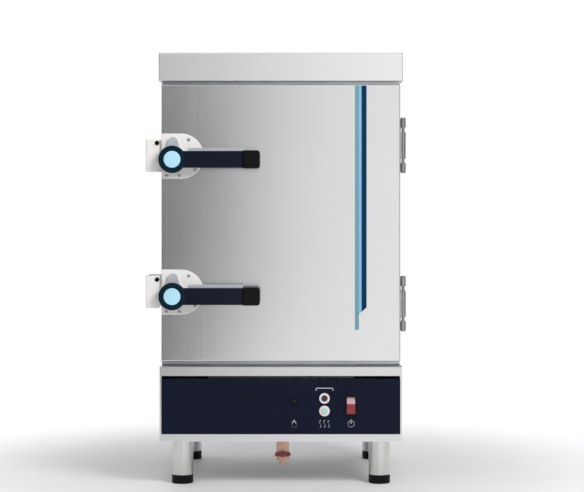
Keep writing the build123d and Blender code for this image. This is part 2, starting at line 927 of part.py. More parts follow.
with BuildPart() as lamp_bezels:
    for x, z, bezel_radius in lamp_places:
        with BuildSketch(facing(door_front)):
            with Locations((x, panel_bottom + z)):
                Circle(bezel_radius)
        extrude(amount=lamp_bezel_thickness)
        with BuildSketch(facing(door_front + lamp_barrel_length)):
            with Locations((x, panel_bottom + z)):
                Circle(bezel_radius - lamp_rim - running_fit)
        extrude(amount=lamp_barrel_length)
        with BuildSketch(facing(door_front - lamp_bezel_thickness + lamp_pocket)):
            with Locations((x, panel_bottom + z)):
                Circle(bezel_radius - lamp_lens_rim + running_fit)
        extrude(amount=lamp_pocket, mode=Mode.SUBTRACT)
save(lamp_bezels, "lamp_bezels")

with BuildPart() as lamp_lenses:
    for x, z, bezel_radius in lamp_places:
        with BuildSketch(facing(door_front - lamp_bezel_thickness + lamp_pocket)):
            with Locations((x, panel_bottom + z)):
                Circle(bezel_radius - lamp_lens_rim)
        extrude(amount=lamp_pocket + lamp_lens_proud)
    fillet(lamp_lenses.edges().group_by(Axis.Y)[0], lamp_lens_edge)
save(lamp_lenses, "lamp_lenses")

switch_level = panel_bottom + switch_height
barrel_width = switch_width - 2 * switch_rim - 2 * running_fit
barrel_tall = switch_tall - 2 * switch_rim - 2 * running_fit
bezel_front = door_front - switch_bezel_thickness
rocker_half = barrel_width / 2 - switch_wall - rocker_gap
rocker_end = barrel_tall / 2 - switch_wall - rocker_gap
pivot_y = bezel_front + rocker_pivot_depth

with BuildPart() as switch_bezel:
    with BuildSketch(facing(door_front)):
        with Locations((switch_x, switch_level)):
            RectangleRounded(switch_width, switch_tall, switch_corner)
    extrude(amount=switch_bezel_thickness)
    with BuildSketch(facing(door_front + switch_barrel)):
        with Locations((switch_x, switch_level)):
            Rectangle(barrel_width, barrel_tall)
    extrude(amount=switch_barrel)
    with BuildSketch(facing(bezel_front + switch_pocket)):
        with Locations((switch_x, switch_level)):
            Rectangle(barrel_width - 2 * switch_wall, barrel_tall - 2 * switch_wall)
    extrude(amount=switch_pocket, mode=Mode.SUBTRACT)
    with BuildSketch(sideways(switch_x - barrel_width / 2)):
        with Locations((pivot_y, switch_level)):
            Circle(trunnion_radius + running_fit)
    extrude(amount=barrel_width, mode=Mode.SUBTRACT)
save(switch_bezel, "switch_bezel")

trunnion_half = rocker_half + trunnion_length
rocker_pivot = (cabinet_x + switch_x, cabinet_y + pivot_y, switch_level)
tilted = Vector(0, 1, 0).rotate(Axis.X, -rocker_tilt)
rocker_plane = Plane(origin=rocker_pivot, x_dir=tilted, z_dir=(1, 0, 0))
with BuildPart() as switch_rocker:
    with BuildSketch(rocker_plane):
        with BuildLine():
            Polyline(
                (-rocker_ridge, 0),
                (-rocker_shoulder, rocker_end - rocker_gap),
                (rocker_back, rocker_end - rocker_gap),
                (rocker_back, rocker_gap - rocker_end),
                (-rocker_shoulder, rocker_gap - rocker_end),
                close=True,
            )
        make_face()
    extrude(amount=rocker_half, both=True)
    with BuildSketch(rocker_plane):
        Circle(trunnion_radius)
    extrude(amount=trunnion_half, both=True)
save(switch_rocker, "switch_rocker")

# Legs and levelling feet

with BuildPart() as legs:
    tube_bottom = foot_height + foot_gap
    with BuildSketch(level(tube_bottom)):
        with Locations(*foot_places):
            Circle(leg_radius)
    extrude(amount=pan_bottom - tube_bottom)
    with BuildSketch(level(tube_bottom + leg_plug_height)):
        with Locations(*foot_places):
            Circle(leg_radius - leg_wall)
    extrude(
        amount=pan_bottom - tube_bottom - leg_plug_height - leg_plate_thickness,
        mode=Mode.SUBTRACT,
    )
    with BuildSketch(level(tube_bottom)):
        with Locations(*foot_places):
            Circle(foot_stem_radius + running_fit)
    extrude(amount=leg_plug_height, mode=Mode.SUBTRACT)
    with BuildSketch(level(pan_bottom - leg_plate_thickness)):
        with Locations(*foot_places):
            RectangleRounded(leg_plate, leg_plate, leg_plate_corner)
    extrude(amount=leg_plate_thickness)
save(legs, "legs")

for name, place in zip(("front_left", "rear_left", "front_right", "rear_right"), foot_places):
    with BuildPart() as foot:
        with BuildSketch(level(0)):
            with Locations(place):
                Circle(leg_radius)
        extrude(amount=foot_height)
        fillet(foot.edges().group_by(Axis.Z)[0], foot_edge)
        with BuildSketch(level(foot_height)):
            with Locations(place):
                Circle(foot_stem_radius)
        extrude(amount=foot_stem_length)
    save(foot, f"foot_{name}")

# Latch keepers: bent strips on the left side, whose lips stand in front of the cams

keeper_foot_front = body_front + keeper_setback
lip_back = cam_front - keeper_cam_gap
lip_right = -door_half - keeper_edge_gap
for name, height in latch_levels.items():
    with BuildPart() as keeper:
        with BuildSketch(level(height + keeper_lift - keeper_height / 2)):
            with BuildLine():
                Polyline(
                    (-body_half, keeper_foot_front),
                    (-body_half, keeper_foot_front + keeper_foot),
                    (-body_half - keeper_strip, keeper_foot_front + keeper_foot),
                    (-body_half - keeper_strip, keeper_foot_front + keeper_strip),
                    (-left_reach, keeper_foot_front + keeper_strip),
                    (-left_reach, lip_back - keeper_strip),
                    (lip_right, lip_back - keeper_strip),
                    (lip_right, lip_back),
                    (keeper_strip - left_reach, lip_back),
                    (keeper_strip - left_reach, keeper_foot_front),
                    close=True,
                )
            make_face()
        extrude(amount=keeper_height)
        fillet(
            keeper.edges().filter_by(Axis.Z).group_by(Axis.X)[0].group_by(Axis.Y)[0],
            keeper_bend,
        )
    save(keeper, f"latch_keeper_{name}")

# Hinges: frame leaves and pins on the body, door leaves on the door's edge

with BuildPart() as hinge_frame_leaves:
    for height in hinge_levels:
        low = height - hinge_length / 2
        leaf_front = hinge_y + knuckle_radius + leaf_knuckle_gap
        with BuildSketch(level(low)):
            span(body_half, body_half + leaf_thickness, leaf_front, leaf_front + leaf_width)
        extrude(amount=hinge_length)
        for start in (low, low + hinge_length - end_knuckle):
            with BuildSketch(level(start)):
                span(body_half, body_half + leaf_thickness, hinge_y, leaf_front)
                with Locations((hinge_x, hinge_y)):
                    Circle(knuckle_radius)
            extrude(amount=end_knuckle)
        with BuildSketch(level(low)):
            with Locations((hinge_x, hinge_y)):
                Circle(hinge_pin_radius + running_fit)
        extrude(amount=hinge_length, mode=Mode.SUBTRACT)
save(hinge_frame_leaves, "hinge_frame_leaves")

with BuildPart() as hinge_pins:
    for height in hinge_levels:
        low = height - hinge_length / 2
        with BuildSketch(level(low - hinge_head_height)):
            with Locations((hinge_x, hinge_y)):
                Circle(hinge_pin_head)
        extrude(amount=hinge_head_height)
        with BuildSketch(level(low)):
            with Locations((hinge_x, hinge_y)):
                Circle(hinge_pin_radius)
        extrude(amount=hinge_length)
        with BuildSketch(level(low + hinge_length)):
            with Locations((hinge_x, hinge_y)):
                Circle(hinge_pin_head)
        extrude(amount=hinge_head_height)
save(hinge_pins, "hinge_pins")

with BuildPart() as hinge_door_leaves:
    for height in hinge_levels:
        with BuildSketch(level(height - middle_knuckle / 2)):
            span(
                door_half,
                door_half + door_leaf_thickness,
                hinge_y - knuckle_radius - leaf_width,
                hinge_y,
            )
            with Locations((hinge_x, hinge_y)):
                Circle(knuckle_radius)
                Circle(hinge_pin_radius + running_fit, mode=Mode.SUBTRACT)
        extrude(amount=middle_knuckle)
save(hinge_door_leaves, "hinge_door_leaves")

# Door: outer skin, inner pan with its raised field, filling and seal

with BuildPart() as door_skin:
    with BuildSketch(facing(door_back)):
        span(-door_half, door_half, door_bottom, door_top)
    extrude(amount=door_thickness)
    fillet(door_skin.edges().group_by(Axis.Y)[0], door_edge)
    with BuildSketch(facing(door_back)):
        span(sheet - door_half, door_half - sheet, door_bottom + sheet, door_top - sheet)
    extrude(amount=door_thickness - sheet, mode=Mode.SUBTRACT)
save(door_skin, "door_skin")

field_half = chamber_half - field_margin
with BuildPart() as door_inner_pan:
    with BuildSketch(facing(door_back)):
        span(sheet - door_half, door_half - sheet, door_bottom + sheet, door_top - sheet)
    extrude(amount=sheet)
    with BuildSketch(facing(door_back + raised_field)):
        span(
            -field_half,
            field_half,
            chamber_floor + field_margin,
            chamber_ceiling - field_margin,
        )
    extrude(amount=raised_field)
    with BuildSketch(facing(door_back + raised_field - sheet)):
        span(
            sheet - field_half,
            field_half - sheet,
            chamber_floor + field_margin + sheet,
            chamber_ceiling - field_margin - sheet,
        )
    extrude(amount=raised_field, mode=Mode.SUBTRACT)
save(door_inner_pan, "door_inner_pan")

with BuildPart() as door_insulation:
    with BuildSketch(facing(door_back - sheet)):
        span(sheet - door_half, door_half - sheet, door_bottom + sheet, door_top - sheet)
    extrude(amount=door_thickness - 2 * sheet)
save(door_insulation, "door_insulation")

seal_half = door_half - gasket_inset
with BuildPart() as door_gasket:
    with BuildSketch(facing(door_back + gasket_thickness)):
        span(-seal_half, seal_half, door_bottom + gasket_inset, door_top - gasket_inset)
        span(
            gasket_width - seal_half,
            seal_half - gasket_width,
            door_bottom + gasket_inset + gasket_width,
            door_top - gasket_inset - gasket_width,
            mode=Mode.SUBTRACT,
        )
    extrude(amount=gasket_thickness)
save(door_gasket, "door_gasket")

# Latches: base plates with their pivot pins on the door, and on each pin a casting
# with cam and arm, a moulded cover, a grip tip and a round button

with BuildPart() as latch_plates:
    for height in latch_levels.values():
        disc_x = latch_x + latch_plate_shift
        disc_z = height + latch_plate_lift
        with BuildSketch(facing(door_front)):
            with Locations((disc_x, disc_z)):
                Circle(latch_plate_radius)
            span(
                plate_edge_inset - door_half,
                disc_x,
                disc_z - latch_plate_radius,
                disc_z + latch_plate_radius,
            )
            span(
                plate_edge_inset - door_half,
                disc_x + latch_plate_radius,
                disc_z - latch_plate_radius,
                disc_z + latch_plate_radius,
                mode=Mode.INTERSECT,
            )
        extrude(amount=latch_plate_thickness)
    fillet(latch_plates.edges().group_by(Axis.Y)[0], plate_edge)
    for height in latch_levels.values():
        with BuildSketch(facing(plate_front)):
            with Locations((latch_x, height)):
                Circle(latch_pin_radius)
        extrude(amount=plate_front - core_front)
save(latch_plates, "latch_plates")

arm_end = lever_length - tip_length
core_half = cover_height / 2 - core_inset
for name, height in latch_levels.items():
    with BuildPart() as latch_casting:
        with BuildSketch(facing(cam_back)):
            with Locations((latch_x, height)):
                Circle(cam_root_radius)
            with Locations((latch_x, height + cam_tip_distance)):
                Circle(cam_tip_radius)
            make_hull()
        extrude(amount=cam_thickness)
        with BuildSketch(facing(cam_front)):
            with Locations((latch_x, height)):
                Circle(hub_radius)
        extrude(amount=hub_length)
        with BuildSketch(facing(core_back)):
            with Locations((latch_x, height)):
                Circle(head_radius - core_band)
            span(latch_x, latch_x + arm_end, height - core_half, height + core_half)
            span(
                latch_x + core_band_start,
                latch_x + arm_end,
                height,
                height + cover_height / 2 + core_band,
            )
        extrude(amount=core_thickness)
        with BuildSketch(facing(cam_back)):
            with Locations((latch_x, height)):
                Circle(latch_pin_radius + running_fit)
        extrude(amount=cam_back - core_front, mode=Mode.SUBTRACT)
    save(latch_casting, f"latch_casting_{name}")

    with BuildPart() as lever_cover:
        with BuildSketch(facing(core_front)):
            with Locations((latch_x, height)):
                Circle(head_radius)
            span(latch_x, latch_x + arm_end, height - cover_height / 2, height + cover_height / 2)
        extrude(amount=cover_thickness)
        fillet(lever_cover.edges().group_by(Axis.Y)[0], cover_edge)
        with BuildSketch(facing(cover_front + button_pocket)):
            with Locations((latch_x, height)):
                Circle(button_radius + running_fit)
        extrude(amount=button_pocket, mode=Mode.SUBTRACT)
    save(lever_cover, f"lever_cover_{name}")

    with BuildPart() as lever_tip:
        with BuildSketch(facing(core_back)) as tip_outline:
            span(
                latch_x + arm_end,
                latch_x + lever_length,
                height - tip_height / 2,
                height + tip_height / 2,
            )
            fillet(tip_outline.vertices().group_by(Axis.X)[-1], tip_corner)
        extrude(amount=core_thickness + cover_thickness + tip_proud)
        fillet(lever_tip.edges().group_by(Axis.Y)[0], tip_edge)
    save(lever_tip, f"lever_tip_{name}")

    with BuildPart() as lever_button:
        with BuildSketch(facing(cover_front + button_pocket)):
            with Locations((latch_x, height)):
                Circle(button_radius)
        extrude(amount=button_pocket + button_proud)
        fillet(lever_button.edges().group_by(Axis.Y)[0], button_crown)
    save(lever_button, f"lever_button_{name}")
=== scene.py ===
"""Food steaming cabinet: finishes, fine detail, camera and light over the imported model."""

import math

import bmesh
import bpy
from mathutils import Matrix, Vector


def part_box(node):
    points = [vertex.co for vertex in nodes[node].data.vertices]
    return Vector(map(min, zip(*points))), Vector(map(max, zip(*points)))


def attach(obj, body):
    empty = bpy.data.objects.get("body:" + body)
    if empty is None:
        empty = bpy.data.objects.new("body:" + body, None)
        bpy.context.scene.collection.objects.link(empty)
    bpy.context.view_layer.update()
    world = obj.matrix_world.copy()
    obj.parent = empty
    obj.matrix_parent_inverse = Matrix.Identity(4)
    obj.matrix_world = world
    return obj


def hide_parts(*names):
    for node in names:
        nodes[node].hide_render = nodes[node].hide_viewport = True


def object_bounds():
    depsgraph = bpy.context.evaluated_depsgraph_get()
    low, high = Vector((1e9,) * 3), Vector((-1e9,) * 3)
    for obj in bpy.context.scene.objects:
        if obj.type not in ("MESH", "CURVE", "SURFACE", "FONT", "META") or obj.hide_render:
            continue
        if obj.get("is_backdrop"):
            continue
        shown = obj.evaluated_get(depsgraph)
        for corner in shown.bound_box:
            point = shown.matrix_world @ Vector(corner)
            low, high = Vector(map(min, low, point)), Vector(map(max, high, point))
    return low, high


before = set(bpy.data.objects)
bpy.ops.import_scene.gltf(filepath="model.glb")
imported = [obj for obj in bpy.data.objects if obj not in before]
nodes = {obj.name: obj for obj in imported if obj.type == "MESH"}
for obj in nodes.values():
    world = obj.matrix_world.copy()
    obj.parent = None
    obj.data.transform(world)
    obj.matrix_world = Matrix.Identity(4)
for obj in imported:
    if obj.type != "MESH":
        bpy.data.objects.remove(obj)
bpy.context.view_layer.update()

MM = 0.001
# The cabinet's own middle in the row frame, from which part.py measures
MID_X = (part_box("side_panel_left")[0].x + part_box("side_panel_right")[1].x) / 2
MID_Y = (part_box("side_panel_left")[1].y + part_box("chamber_liner")[0].y) / 2
DOOR_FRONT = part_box("door_skin")[0].y
DOOR_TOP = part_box("door_skin")[1].z
PANEL_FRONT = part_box("control_panel")[0].y
REAR_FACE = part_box("rear_panel")[1].y
KEEPER_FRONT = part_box("latch_keeper_upper")[0].y
COVER_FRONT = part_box("lever_cover_upper")[0].y

# Places in the cabinet's own millimetres, as in part.py
BODY_HALF = 344
BODY_BACK = 272.5
HINGE_LEVELS = (519, 976)
LATCH_X = -308
LATCH_LEVELS = {"lower": 545, "upper": 934}


# Materials


def add(tree, kind, **values):
    """A node of that kind, with properties or input defaults by name."""
    node = tree.nodes.new(kind)
    for key, value in values.items():
        if hasattr(node, key):
            setattr(node, key, value)
        else:
            node.inputs[key.replace("_", " ")].default_value = value
    return node


def ramp(tree, source, stops):
    """Colour ramp over a 0 to 1 output; stops are (position, colour)."""
    node = tree.nodes.new("ShaderNodeValToRGB")
    for element, (place, colour) in zip(node.color_ramp.elements, stops):
        element.position = place
        element.color = (*colour, 1)
    tree.links.new(source, node.inputs["Fac"])
    return node.outputs["Color"]


NOISE_ROUGHNESS = 0.6
GRAIN_DETAIL = 3.0
SMUDGE_DETAIL = 4.0
SMUDGE_SHARE = 0.5
# Range of the mixed noise over which a finish goes from its darkest to its lightest
NOISE_LOW = 0.3
NOISE_HIGH = 0.7
SMOOTHEST = 0.02


def noise(tree, stretch, detail):
    """Noise over the object's own coordinates, stretch in waves per metre along x, y, z."""
    place = tree.nodes.new("ShaderNodeTexCoord")
    mapping = tree.nodes.new("ShaderNodeMapping")
    mapping.inputs["Scale"].default_value = stretch
    tree.links.new(place.outputs["Object"], mapping.inputs["Vector"])
    made = add(tree, "ShaderNodeTexNoise", Scale=1.0, Detail=detail, Roughness=NOISE_ROUGHNESS)
    tree.links.new(mapping.outputs["Vector"], made.inputs["Vector"])
    return made.outputs["Fac"]


def surface(
    name,
    colour,
    rough,
    metal=0.0,
    grain=300,
    vary=0.06,
    rough_vary=0.06,
    bump=0.1,
    depth=0.0002,
    smudge=4.0,
    coat=0.0,
    coat_rough=0.1,
    sheen=0.0,
    specular=0.5,
):
    """Principled material whose colour, roughness and bump follow a grain and large smudges.

    grain and smudge are in waves per metre, grain as one number or along x, y, z. vary and
    rough_vary are how far the colour, as a share, and the roughness differ from their means.
    """
    mat = bpy.data.materials.new(name)
    mat.use_nodes = True
    tree = mat.node_tree
    shader = tree.nodes["Principled BSDF"]
    shader.inputs["Metallic"].default_value = metal
    shader.inputs["Coat Weight"].default_value = coat
    shader.inputs["Coat Roughness"].default_value = coat_rough
    shader.inputs["Sheen Weight"].default_value = sheen
    shader.inputs["Specular IOR Level"].default_value = specular
    stretch = grain if isinstance(grain, tuple) else (grain, grain, grain)
    fine = noise(tree, stretch, GRAIN_DETAIL)
    large = noise(tree, (smudge, smudge, smudge), SMUDGE_DETAIL)
    both = add(tree, "ShaderNodeMix", data_type="FLOAT")
    both.inputs["Factor"].default_value = SMUDGE_SHARE
    tree.links.new(fine, both.inputs["A"])
    tree.links.new(large, both.inputs["B"])
    mixed = both.outputs["Result"]
    dark = [c * (1 - vary) for c in colour]
    light = [min(1, c * (1 + vary)) for c in colour]
    tones = ramp(tree, mixed, [(NOISE_LOW, dark), (NOISE_HIGH, light)])
    tree.links.new(tones, shader.inputs["Base Color"])
    span = add(tree, "ShaderNodeMapRange", From_Min=NOISE_LOW, From_Max=NOISE_HIGH)
    span.inputs["To Min"].default_value = max(SMOOTHEST, rough - rough_vary)
    span.inputs["To Max"].default_value = rough + rough_vary
    tree.links.new(mixed, span.inputs["Value"])
    tree.links.new(span.outputs["Result"], shader.inputs["Roughness"])
    relief = add(tree, "ShaderNodeBump", Strength=bump, Distance=depth)
    tree.links.new(fine, relief.inputs["Height"])
    tree.links.new(relief.outputs["Normal"], shader.inputs["Normal"])
    return mat


# Brushed grain, long along one axis
UPRIGHT = (380, 380, 1.3)
LEVEL = (1.3, 380, 380)
CROSS = (380, 1.3, 380)
BRUSHED = dict(metal=1, vary=0.035, rough_vary=0.05, bump=0.05, smudge=1.6)
FILM = dict(grain=600, vary=0.04, rough_vary=0.04, bump=0.05, smudge=6)
FINISHES = {
    "steel_upright": dict(BRUSHED, colour=(0.8, 0.8, 0.81), rough=0.24, grain=UPRIGHT),
    "steel_level": dict(BRUSHED, colour=(0.78, 0.78, 0.79), rough=0.34, grain=LEVEL),
    "steel_cap": dict(
        BRUSHED, colour=(0.93, 0.93, 0.94), rough=0.34, metal=0.8, grain=LEVEL, vary=0.03
    ),
    "steel_tube": dict(
        BRUSHED, colour=(0.66, 0.655, 0.65), rough=0.2, grain=UPRIGHT, vary=0.05, smudge=6
    ),
    "liner": dict(
        colour=(0.62, 0.63, 0.64), rough=0.33, metal=1, grain=LEVEL, vary=0.05,
        rough_vary=0.08, smudge=7,
    ),
    "tray": dict(
        colour=(0.7, 0.7, 0.71), rough=0.26, metal=1, grain=CROSS, vary=0.04, smudge=9
    ),
    "element": dict(
        colour=(0.28, 0.22, 0.18), rough=0.42, metal=1, grain=(160, 30, 160), vary=0.35,
        rough_vary=0.12, bump=0.2, smudge=30,
    ),
    "nickel": dict(
        colour=(0.66, 0.67, 0.73), rough=0.32, metal=0.35, grain=260, vary=0.03,
        rough_vary=0.05, bump=0.0, smudge=22,
    ),
    "cream": dict(
        colour=(0.93, 0.91, 0.89), rough=0.34, grain=350, vary=0.03, bump=0.04, smudge=18,
        coat=0.3, coat_rough=0.15,
    ),
    "hinge": dict(
        colour=(0.5, 0.5, 0.51), rough=0.4, metal=1, grain=UPRIGHT, vary=0.15,
        rough_vary=0.1, bump=0.15, smudge=25,
    ),
    "screw": dict(
        colour=(0.5, 0.5, 0.52), rough=0.3, metal=1, grain=800, vary=0.1, rough_vary=0.1,
        bump=0.05,
    ),
    "navy_coat": dict(
        colour=(0.0035, 0.0062, 0.02), rough=0.45, grain=700, vary=0.15, bump=0.15, smudge=5,
        specular=0.12,
    ),
    "navy_plastic": dict(
        colour=(0.0035, 0.005, 0.016), rough=0.34, grain=500, vary=0.15, rough_vary=0.07,
        bump=0.06, smudge=20, specular=0.2,
    ),
    "teal_ring": dict(
        colour=(0.001, 0.016, 0.03), rough=0.25, grain=400, vary=0.2, rough_vary=0.05,
        bump=0.05, smudge=30, specular=0.2,
    ),
    "blue_button": dict(
        colour=(0.47, 0.8, 0.96), rough=0.28, grain=400, vary=0.05, rough_vary=0.05,
        bump=0.06, smudge=30, coat=0.4,
    ),
    "black": dict(
        colour=(0.004, 0.004, 0.005), rough=0.5, grain=900, vary=0.25, rough_vary=0.08,
        bump=0.2, smudge=18, specular=0.15,
    ),
    "pale": dict(colour=(0.6, 0.6, 0.56), rough=0.5, grain=700, vary=0.05, bump=0.2),
    "white_float": dict(colour=(0.85, 0.84, 0.78), rough=0.35, grain=500, vary=0.04),
    "rubber": dict(
        colour=(0.42, 0.42, 0.4), rough=0.62, grain=600, vary=0.1, rough_vary=0.08, bump=0.3,
        smudge=10, sheen=0.1,
    ),
    "wool": dict(
        colour=(0.72, 0.64, 0.4), rough=0.95, grain=(90, 90, 260), vary=0.3, rough_vary=0.04,
        bump=0.9, depth=0.003, smudge=12, sheen=0.3,
    ),
    "brass": dict(
        colour=(0.66, 0.42, 0.32), rough=0.36, metal=1, grain=240, vary=0.14, rough_vary=0.1,
        bump=0.2, smudge=40,
    ),
    "red": dict(
        colour=(0.22, 0.01, 0.024), rough=0.33, grain=500, vary=0.1, bump=0.08, smudge=40,
        coat=0.3,
    ),
    "stripe_teal": dict(FILM, colour=(0.137, 0.302, 0.368), rough=0.36),
    "stripe_light": dict(FILM, colour=(0.19, 0.43, 0.65), rough=0.36),
    "stripe_dark": dict(
        FILM, colour=(0.001, 0.03, 0.085), rough=0.34, vary=0.06, specular=0.08
    ),
    "mark": dict(colour=(0.5, 0.52, 0.58), rough=0.5, grain=600, vary=0.08),
}
mats = {name: surface(name, **finish) for name, finish in FINISHES.items()}


# Over this length one colour turns into the next
COLOUR_EDGE = 0.5 * MM


def split_colour(name, base, parts):
    """Copy of a material whose colour changes past given places.

    parts is a list of (axis, place, colour): beyond place along axis the colour takes over.
    """
    mat = mats[base].copy()
    mat.name = name
    tree = mat.node_tree
    shader = tree.nodes["Principled BSDF"]
    colour = shader.inputs["Base Color"].links[0].from_socket
    where = tree.nodes.new("ShaderNodeTexCoord")
    axes = tree.nodes.new("ShaderNodeSeparateXYZ")
    tree.links.new(where.outputs["Object"], axes.inputs["Vector"])
    for axis, place, tone in parts:
        edge = add(tree, "ShaderNodeMapRange")
        edge.inputs["From Min"].default_value = place
        edge.inputs["From Max"].default_value = place + COLOUR_EDGE
        tree.links.new(axes.outputs[axis], edge.inputs["Value"])
        blend = add(tree, "ShaderNodeMix", data_type="RGBA")
        blend.inputs["B"].default_value = (*tone, 1)
        tree.links.new(edge.outputs["Result"], blend.inputs["Factor"])
        tree.links.new(colour, blend.inputs["A"])
        colour = blend.outputs["Result"]
    tree.links.new(colour, shader.inputs["Base Color"])
    return mat


# The small lamp on the left is dark. Right of it stands a pair with bright bezels, the lower
# one lit and the upper one dark.
PAIR_SHIFT = 40 * MM
lens_low, lens_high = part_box("lamp_lenses")
pair_left = lens_low.x + PAIR_SHIFT
pair_middle = (lens_low.z + lens_high.z) / 2
mats["bezel"] = split_colour(
    "bezel_dark_and_bright", "black", [("X", pair_left, (0.74, 0.66, 0.7))]
)
mats["lens"] = split_colour(
    "lens",
    "white_float",
    [
        ("X", lens_low.x - MM, (0.01, 0.05, 0.035)),
        ("X", pair_left, (0.4, 0.66, 0.5)),
        ("Z", pair_middle, (0.03, 0.02, 0.03)),
    ],
)
# Painted highlight: the rocker is pale above a line a little over its middle, where its top half
# faces the light from above
PAINTED_HIGHLIGHT_RISE = 5 * MM
rocker_low, rocker_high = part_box("switch_rocker")
painted_highlight_line = (rocker_low.z + rocker_high.z) / 2 + PAINTED_HIGHLIGHT_RISE
mats["rocker"] = split_colour("rocker", "red", [("Z", painted_highlight_line, (0.52, 0.34, 0.4))])


def dress(target, finish):
    """Give a node's object or a piece one material."""
    target.data.materials.clear()
    target.data.materials.append(mats[finish])


LOOKS = {
    "steel_cap": ["top_cover"],
    "steel_upright": ["side_panel_left", "side_panel_right", "rear_panel", "door_skin"],
    "steel_level": ["base_front_frame"],
    "steel_tube": ["legs"],
    "liner": [
        "chamber_liner", "base_pan", "rack_left", "rack_right", "water_tank", "baffle_plate",
        "float_box", "float_box_lid", "steam_outlet", "door_inner_pan",
    ],
    "element": ["heating_elements"],
    "wool": ["chamber_insulation", "door_insulation"],
    "navy_coat": ["control_panel"],
    "brass": ["drain_valve", "float_valve"],
    "red": ["drain_handle"],
    "white_float": ["float_arm"],
    "black": ["cable_gland", "switch_bezel"],
    "pale": ["contactor", "terminal_block"],
    "bezel": ["lamp_bezels"],
    "lens": ["lamp_lenses"],
    "rocker": ["switch_rocker"],
    "hinge": ["hinge_frame_leaves", "hinge_pins", "hinge_door_leaves"],
    "rubber": ["door_gasket"],
    "cream": ["latch_plates"],
}
# Finishes of the nodes that come in numbered or placed sets, by how their names start
SETS = {
    "tray_": "tray",
    "foot_": "black",
    "latch_keeper_": "cream",
    "latch_casting_": "nickel",
    "lever_cover_": "navy_plastic",
    "lever_tip_": "black",
    "lever_button_": "blue_button",
}
for finish, names in LOOKS.items():
    for name in names:
        dress(nodes[name], finish)
for name, node in nodes.items():
    for start, finish in SETS.items():
        if name.startswith(start):
            dress(node, finish)


# Mesh helpers for the pieces added over the frame


def piece(name, mesh, finish, body):
    """Object from a bmesh of closed shells, with its material and body."""
    bmesh.ops.recalc_face_normals(mesh, faces=mesh.faces)
    data = bpy.data.meshes.new(name)
    mesh.to_mesh(data)
    mesh.free()
    made = bpy.data.objects.new(name, data)
    bpy.context.scene.collection.objects.link(made)
    dress(made, finish)
    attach(made, body)
    return made


def join_rings(mesh, here, there):
    """Quads between two closed rings with as many vertices."""
    for i in range(len(here)):
        j = (i + 1) % len(here)
        mesh.faces.new((here[i], here[j], there[j], there[i]))


def join_loop(mesh, rings):
    """Quads from each ring to the next, and from the last to the first."""
    for here, there in zip(rings, rings[1:] + rings[:1]):
        join_rings(mesh, here, there)


def join_stack(mesh, rings):
    """Closed shell of a stack of rings, with a face on each end."""
    for here, there in zip(rings, rings[1:]):
        join_rings(mesh, here, there)
    mesh.faces.new(rings[0])
    mesh.faces.new(rings[-1])


def slab(mesh, outline, front, back):
    """Closed plate between two depths from an (x, z) outline."""
    join_stack(mesh, [[mesh.verts.new((x, y, z)) for x, z in outline] for y in (front, back)])


def spot(x, y, z):
    """Row-frame point from the cabinet's own millimetres."""
    return (MID_X + x * MM, MID_Y + y * MM, z * MM)


# The three stripes down the door, as (left, right, left end, right end) in millimetres.
# Their ends are cut at a slant.

STRIPES = {
    "stripe_teal": (212, 223.4, 445, 449),
    "stripe_light": (223.6, 230.8, 492, 498),
    "stripe_dark": (231, 245.5, 498, 511),
}
STRIPE_PROUD = 0.3 * MM
STRIPE_GAP = 3 * MM
for name, (left, right, left_end, right_end) in STRIPES.items():
    shape = bmesh.new()
    low_x, high_x = MID_X + left * MM, MID_X + right * MM
    outline = [
        (low_x, left_end * MM),
        (high_x, right_end * MM),
        (high_x, DOOR_TOP - STRIPE_GAP),
        (low_x, DOOR_TOP - STRIPE_GAP),
    ]
    slab(shape, outline, DOOR_FRONT - STRIPE_PROUD, DOOR_FRONT)
    piece(name, shape, name, "door")


# Screws, as copies of one cross-recessed pan head of radius 1

# (radius, height) from the axis under the head to the axis on its top
HEAD_PROFILE = [(0, 0), (1, 0), (1, 0.12), (0.88, 0.36), (0.6, 0.5), (0.3, 0.55), (0, 0.56)]
HEAD_STEPS = 20
RECESS_REACH = 0.55
RECESS_HALF = 0.13
RECESS_FLOOR = 0.2
RECESS_ROOF = 1.0
# Each screw is turned this much further than the one before, in radians
SCREW_SPIN = 1.1


def lathe(mesh, profile, steps):
    """Closed turned solid from (radius, height) points, the first and last on the axis."""
    turns = [2 * math.pi * i / steps for i in range(steps)]
    rings = [
        [mesh.verts.new((radius * math.cos(a), radius * math.sin(a), height)) for a in turns]
        for radius, height in profile[1:-1]
    ]
    low = mesh.verts.new((0, 0, profile[0][1]))
    high = mesh.verts.new((0, 0, profile[-1][1]))
    for i in range(steps):
        j = (i + 1) % steps
        mesh.faces.new((low, rings[0][j], rings[0][i]))
        for lower, upper in zip(rings, rings[1:]):
            mesh.faces.new((lower[i], lower[j], upper[j], upper[i]))
        mesh.faces.new((rings[-1][i], rings[-1][j], high))


def screw_head():
    """Mesh of the head with its recess cut, standing on z 0."""
    head = bmesh.new()
    lathe(head, HEAD_PROFILE, HEAD_STEPS)
    cross = bmesh.new()
    arm, half = RECESS_REACH, RECESS_HALF
    plus = [
        (half, half), (arm, half), (arm, -half), (half, -half), (half, -arm), (-half, -arm),
        (-half, -half), (-arm, -half), (-arm, half), (-half, half), (-half, arm), (half, arm),
    ]
    levels = (RECESS_FLOOR, RECESS_ROOF)
    join_stack(cross, [[cross.verts.new((x, y, z)) for x, y in plus] for z in levels])
    bmesh.ops.recalc_face_normals(cross, faces=cross.faces)
    parts = []
    for mesh in (head, cross):
        data = bpy.data.meshes.new("screw_part")
        mesh.to_mesh(data)
        mesh.free()
        parts.append(bpy.data.objects.new("screw_part", data))
        bpy.context.scene.collection.objects.link(parts[-1])
    cut = parts[0].modifiers.new("recess", "BOOLEAN")
    cut.operation = "DIFFERENCE"
    cut.object = parts[1]
    graph = bpy.context.evaluated_depsgraph_get()
    result = bpy.data.meshes.new_from_object(parts[0].evaluated_get(graph))
    for part in parts:
        bpy.data.objects.remove(part)
    return result


